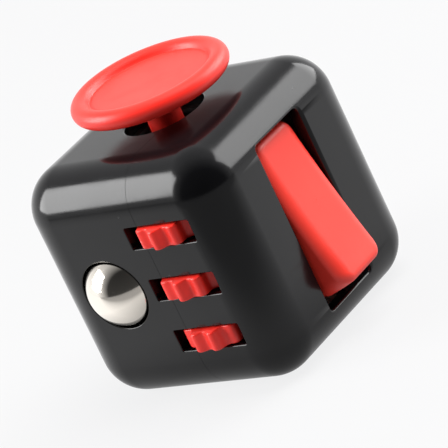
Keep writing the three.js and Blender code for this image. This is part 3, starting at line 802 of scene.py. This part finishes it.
def wheel_tree():
    """A ring of rectangular section whose rim is drawn out into rounded teeth."""
    tree = NodeTree("thumb_wheel", {
        "Teeth": ("Int", TEETH), "Tip": ("Float", WHEEL_TIP), "Root": ("Float", WHEEL_ROOT),
        "Bore": ("Float", AXLE_RADIUS + GAP), "Thickness": ("Float", WHEEL_THICK),
        "Softness": ("Float", 0.28), "Phase": ("Float", 0.0)})
    given = tree.given
    points_per_tooth, valley_power = 28.0, 1.1
    middle = tree.maths("MULTIPLY", tree.maths("ADD", given["Tip"], given["Bore"]), 0.5)
    width = tree.maths("SUBTRACT", given["Tip"], given["Bore"])
    path = tree.add("GeometryNodeCurvePrimitiveCircle",
                    tree.maths("MULTIPLY", given["Teeth"], points_per_tooth))
    tree.feed(path.inputs["Radius"], middle)
    section = tree.add("GeometryNodeCurvePrimitiveQuadrilateral", width, given["Thickness"])
    soft = tree.add("GeometryNodeFilletCurve", section.outputs[0], 5, given["Softness"],
                    mode="POLY")
    blank = tree.add("GeometryNodeCurveToMesh", path.outputs[0], soft.outputs[0])

    x, y, z = tree.add("ShaderNodeSeparateXYZ",
                       tree.add("GeometryNodeInputPosition").outputs[0]).outputs
    radius = tree.maths("SQRT", tree.maths("ADD", tree.maths("MULTIPLY", x, x),
                                           tree.maths("MULTIPLY", y, y)))
    angle = tree.maths("SUBTRACT", tree.maths("ARCTAN2", y, x), given["Phase"])
    wave = tree.maths("COSINE", tree.maths("MULTIPLY", angle, given["Teeth"]))
    valley = tree.maths("POWER", tree.maths("MULTIPLY", tree.maths("SUBTRACT", 1.0, wave), 0.5),
                        valley_power)
    outward = tree.maths("DIVIDE", tree.maths("SUBTRACT", radius, given["Bore"]), width)
    depth = tree.maths("MULTIPLY", tree.maths("SUBTRACT", given["Tip"], given["Root"]),
                       tree.maths("MULTIPLY", outward, outward))
    drawn = tree.maths("SUBTRACT", 1.0, tree.maths("DIVIDE", tree.maths("MULTIPLY", valley, depth),
                                                   radius))
    moved = tree.add("ShaderNodeCombineXYZ", tree.maths("MULTIPLY", x, drawn),
                     tree.maths("MULTIPLY", y, drawn), z)
    toothed = tree.add("GeometryNodeSetPosition", blank.outputs[0], None, moved.outputs[0])
    return tree.finish(toothed.outputs[0])


def spring_tree():
    """Round wire wound along a helix, with its ends closed."""
    tree = NodeTree("coil_spring", {
        "Radius": ("Float", 2.5), "Wire": ("Float", 0.3), "Height": ("Float", 2.0),
        "Turns": ("Float", 3.0)})
    given = tree.given
    helix = tree.add("GeometryNodeCurveSpiral", 40, given["Turns"], given["Radius"],
                     given["Radius"], given["Height"])
    wire = tree.add("GeometryNodeCurvePrimitiveCircle", 14)
    tree.feed(wire.inputs["Radius"], given["Wire"])
    coil = tree.add("GeometryNodeCurveToMesh", helix.outputs[0], wire.outputs[0])
    coil.inputs["Fill Caps"].default_value = True
    return tree.finish(coil.outputs[0])


def screw_tree():
    """A pan-head screw with a cross recess on each point, its thread a thin winding."""
    tree = NodeTree("cross_screws", {
        "Head": ("Float", 1.2), "Shank": ("Float", 0.5), "Length": ("Float", 6.0)})
    places = tree.tree.interface.new_socket("Places", in_out="INPUT",
                                            socket_type="NodeSocketGeometry")
    tree.tree.interface.move(places, 0)      # a modifier's geometry has to come in first
    given = tree.given
    rise, bar_length, bar_width, pitch, ridge_radius = 0.9, 1.3, 0.3, 0.5, 0.09
    head = tree.add("GeometryNodeMeshCylinder", 32, 1, 1, given["Head"], rise)
    raised = tree.add("GeometryNodeTransform", head.outputs[0], (0, 0, rise / 2))
    bars = [tree.add("GeometryNodeMeshCube", size)
            for size in ((bar_length, bar_width, 1), (bar_width, bar_length, 1))]
    cross = tree.add("GeometryNodeJoinGeometry")
    for bar in bars:
        tree.tree.links.new(bar.outputs[0], cross.inputs[0])
    recess = tree.add("GeometryNodeMeshBoolean", raised.outputs[0], cross.outputs[0],
                      operation="DIFFERENCE", solver="EXACT")
    recess.inputs["Self Intersection"].default_value = True
    shank = tree.add("GeometryNodeMeshCylinder", 24, 1, 1, given["Shank"], given["Length"])
    middle = tree.maths("ADD", tree.maths("MULTIPLY", given["Length"], 0.5), rise)
    lowered = tree.add("GeometryNodeTransform", shank.outputs[0],
                       tree.add("ShaderNodeCombineXYZ", 0.0, 0.0, middle).outputs[0])
    turns = tree.maths("DIVIDE", given["Length"], pitch)
    thread_height = tree.maths("MULTIPLY", given["Length"], 0.9)
    helix = tree.add("GeometryNodeCurveSpiral", 20, turns, given["Shank"], given["Shank"],
                     thread_height)
    ridge = tree.add("GeometryNodeCurvePrimitiveCircle", 6)
    ridge.inputs["Radius"].default_value = ridge_radius
    thread = tree.add("GeometryNodeCurveToMesh", helix.outputs[0], ridge.outputs[0])
    thread.inputs["Fill Caps"].default_value = True
    wound = tree.add("GeometryNodeTransform", thread.outputs[0], (0, 0, rise + 0.2))
    screw = tree.add("GeometryNodeJoinGeometry")
    for part in (recess, lowered, wound):
        tree.tree.links.new(part.outputs[0], screw.inputs[0])
    copies = tree.add("GeometryNodeInstanceOnPoints", given["Places"], None, screw.outputs[0])
    return tree.finish(copies.outputs[0])


def build_wheels():
    tree = wheel_tree()
    along_axle = Matrix.Rotation(math.radians(-90), 4, "X")
    for name, height in WHEEL_PLACES.items():
        phase = 0.0 if name == "bottom" else math.pi / TEETH
        wheel = grown(tree, Teeth=TEETH, Tip=WHEEL_TIP, Root=WHEEL_ROOT, Phase=phase,
                      Bore=AXLE_RADIUS + GAP, Thickness=WHEEL_THICK, Softness=0.28,
                      Material=RED_ABS)
        place = ROLL @ Matrix.Translation((AXLE_ACROSS, height, AXLE_DEEP)) @ along_axle
        finish_piece(wheel, f"thumb_wheel_{name}", place, RED_ABS, f"gear_{name}",
                     [f"gear_wheel_{name}"], sharp=50)


def build_springs():
    tree = spring_tree()
    ball = ROLL @ Matrix.Translation((BALL_ACROSS, 0, 4.1 + 0.3))
    coil = grown(tree, Radius=2.5, Wire=0.3, Height=2.2, Turns=3.0, Material=PLATED_STEEL)
    finish_piece(coil, "ball_coil", ball, PLATED_STEEL, "case", ["ball_spring"])
    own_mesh(coil)
    low = PLUNGER_TIP - PIVOT + 3.4
    rocker = ROCKER @ Matrix.Translation((0, 0, low + 0.18))
    coil = grown(tree, Radius=0.85, Wire=0.18, Height=-1.9 - low - 0.36, Turns=3.0,
                 Material=PLATED_STEEL)
    finish_piece(coil, "rocker_coil", rocker, PLATED_STEEL, "flip_switch",
                 ["rocker_spring"])


def build_screws():
    tree = screw_tree()
    sets = (
        ("plate_screws", CLICK, POST_PLACES, PLATE_LOW - 1, 6.1, 1.2, 0.46,
         [f"button_plate_screw_{i + 1}" for i in range(4)]),
        ("bracket_screws", FLIP, [(-8, 0), (8, 0)], INSIDE - 2.6, 2.6, 1.2, 0.46,
         ["rocker_bracket_screw_left", "rocker_bracket_screw_right"]),
    )
    for name, face, places, low, length, head, shank, nodes in sets:
        marks = bpy.data.meshes.new(name)
        marks.from_pydata([(x, y, low) for x, y in places], [], [])
        screws = grown(tree, marks, Head=head, Shank=shank, Length=length, Material=PLATED_STEEL)
        finish_piece(screws, name, face, PLATED_STEEL, "case", nodes)


# ------------------------------------------------------------------ pieces kept from the frame


def paint_kept_nodes():
    """The inner pieces keep their frame meshes and get the finish of their slot."""
    finishes = {"nylon": PALE_NYLON, "dark_nylon": BLACK_NYLON, "silicone": SILICONE,
                "black_rubber": BLACK_RUBBER, "steel": PLATED_STEEL}
    slots = {row["node"]: row["material_slot"] for row in frame["record"]["subparts"]}
    for node, piece in frame["nodes"].items():
        if slots[node] in finishes:
            for holder in piece.material_slots:
                holder.material = finishes[slots[node]]


# ------------------------------------------------------------------ floor, lights and camera

AZIMUTH, ELEVATION, ROLL_ANGLE = 43.2, 19.8, 25.6     # degrees
DISTANCE = 0.4686
LENS = 293.1
AIM_RIGHT, AIM_UP = 0.00096, -0.00011


def direction(azimuth, elevation):
    turn, rise = math.radians(azimuth), math.radians(elevation)
    return Vector((math.sin(turn) * math.cos(rise), -math.cos(turn) * math.cos(rise),
                   math.sin(rise)))


def build_camera():
    towards = direction(AZIMUTH, ELEVATION)
    level = towards.to_track_quat("Z", "Y").to_matrix().to_4x4()
    turned = level @ Matrix.Rotation(math.radians(-ROLL_ANGLE), 4, "Z")
    right, up = turned.col[0].to_3d(), turned.col[1].to_3d()
    camera = bpy.data.objects.new("camera", bpy.data.cameras.new("camera"))
    camera.data.lens = LENS
    camera.data.clip_start = 0.01
    place = CENTRE + DISTANCE * towards + AIM_RIGHT * right + AIM_UP * up
    camera.matrix_world = Matrix.Translation(place) @ turned
    bpy.context.scene.collection.objects.link(camera)
    bpy.context.scene.camera = camera


TOWARDS_CAMERA = (math.sin(math.radians(AZIMUTH)), -math.cos(math.radians(AZIMUTH)), 0.0)
PALE = 0.887              # the pale surroundings, as the camera sees them


def towards_front(tree, place):
    """How far a point or a direction lies towards the camera's side."""
    dot = tree.nodes.new("ShaderNodeVectorMath")
    dot.operation = "DOT_PRODUCT"
    dot.inputs[1].default_value = TOWARDS_CAMERA
    tree.links.new(place, dot.inputs[0])
    return dot.outputs["Value"]


def seen_or_lighting(tree, lighting):
    """The pale value for the camera, and the lighting value for every other ray."""
    path = tree.nodes.new("ShaderNodeLightPath")
    mix = tree.nodes.new("ShaderNodeMix")
    tree.links.new(path.outputs["Is Camera Ray"], mix.inputs["Factor"])
    tree.links.new(lighting, mix.inputs["A"])
    mix.inputs["B"].default_value = 1.0
    return mix.outputs["Result"]


def build_floor():
    """A pale floor, evenly bright to the camera; for other rays its glow is painted light that
    falls off towards the front, with painted shade right under the cube.
    """
    work = bmesh.new()
    bmesh.ops.create_grid(work, x_segments=1, y_segments=1, size=3)
    bmesh.ops.translate(work, verts=work.verts, vec=(0, 0, -0.05 * MM))
    mesh = bpy.data.meshes.new("floor")
    work.to_mesh(mesh)
    work.free()
    floor = bpy.data.objects.new("floor", mesh)
    bpy.context.scene.collection.objects.link(floor)
    material = bpy.data.materials.new("pale_floor")
    material.use_nodes = True
    tree = material.node_tree
    shader = tree.nodes["Principled BSDF"]
    shader.inputs["Base Color"].default_value = (0.05, 0.05, 0.05, 1)
    shader.inputs["Roughness"].default_value = 0.8
    shader.inputs["Specular IOR Level"].default_value = 0.0
    shader.inputs["Emission Color"].default_value = (PALE - 0.05, PALE - 0.05, PALE - 0.045, 1)
    place = object_place(tree)
    # painted light: for rays other than the camera's, the floor's glow is brighter away from the
    # camera's side and falls off towards the front
    lit = stretch(tree, towards_front(tree, place), 0.010, 0.060, 1.25, 0.32)
    length = tree.nodes.new("ShaderNodeVectorMath")
    length.operation = "LENGTH"
    tree.links.new(place, length.inputs[0])
    # painted shade: for rays other than the camera's, the floor's glow is darker near the cube's
    # foot, like a contact shadow
    painted_contact_shade = stretch(tree, length.outputs["Value"], 0.018, 0.040, 0.45, 1.0)
    lighting = maths(tree, "MULTIPLY", lit, painted_contact_shade)
    tree.links.new(seen_or_lighting(tree, lighting), shader.inputs["Emission Strength"])
    mesh.materials.append(material)


def build_world():
    """White surroundings that fall off overhead and on the camera's side."""
    world = bpy.data.worlds.new("studio")
    bpy.context.scene.world = world
    world.use_nodes = True
    tree = world.node_tree
    background = tree.nodes["Background"]
    background.inputs["Color"].default_value = (PALE, PALE, PALE + 0.005, 1)
    place = tree.nodes.new("ShaderNodeTexCoord").outputs["Generated"]
    shade = stretch(tree, towards_front(tree, place), -0.1, 0.5, 1.3, 0.05)
    split = tree.nodes.new("ShaderNodeSeparateXYZ")
    tree.links.new(place, split.inputs[0])
    height = stretch(tree, split.outputs["Z"], 0.0, 1.0, 1.0, 0.45)
    lighting = maths(tree, "MULTIPLY", shade, height)
    tree.links.new(seen_or_lighting(tree, lighting), background.inputs["Strength"])


def area_light(name, azimuth, elevation, distance, size, radiance, mirrored=True):
    light = bpy.data.lights.new(name, "AREA")
    light.shape = "RECTANGLE"
    light.size, light.size_y = size
    light.energy = radiance * math.pi * size[0] * size[1]
    lamp = bpy.data.objects.new(name, light)
    towards = direction(azimuth, elevation)
    lamp.matrix_world = (Matrix.Translation(CENTRE + distance * towards)
                         @ towards.to_track_quat("Z", "Y").to_matrix().to_4x4())
    lamp.visible_camera = False
    lamp.visible_glossy = mirrored
    bpy.context.scene.collection.objects.link(lamp)


def build_light():
    bpy.context.scene.view_settings.view_transform = "Standard"
    build_world()
    area_light("left_softbox", -54, 29, 0.6, (0.32, 0.40), 9.2)
    area_light("back_softbox", 152, 27, 0.6, (0.50, 0.36), 5.3)
    area_light("overhead_fill", 115, 70, 0.6, (0.42, 0.42), 10.0, mirrored=False)


# ------------------------------------------------------------------ the whole cube

build_shell()
build_joystick()
build_wheels()
build_ball()
build_rocker()
build_buttons()
build_domes()
build_dial()
build_springs()
build_screws()
paint_kept_nodes()
build_floor()
build_light()
build_camera()
